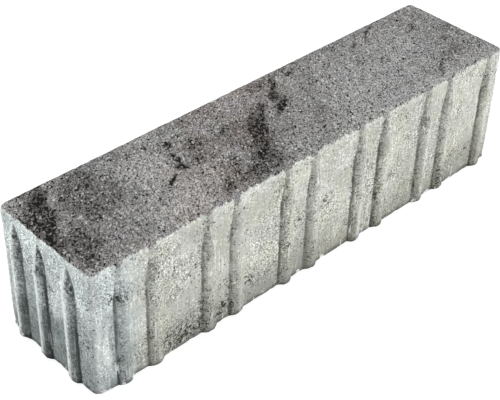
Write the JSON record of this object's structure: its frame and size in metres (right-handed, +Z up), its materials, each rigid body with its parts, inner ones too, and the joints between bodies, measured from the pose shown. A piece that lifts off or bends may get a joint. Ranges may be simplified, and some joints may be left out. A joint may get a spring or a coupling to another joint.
{
  "type": "paving stone",
  "caption": "Long, slim cast concrete paving stone with a flat walking face and upright spacer ribs with pointed tips on its sides and ends.",
  "frame": {"origin": "middle of the underside, at floor level", "axes": "+X along the stone's length, +Y across it, +Z up to the walking face"},
  "size_m": [0.32, 0.08, 0.08],
  "materials": {
    "concrete": "matt fine-grained cast concrete, light grey sides and a mottled dark grey walking face"
  },
  "bodies": {
    "root": {"paving_stone": "concrete"}
  },
  "joints": []
}
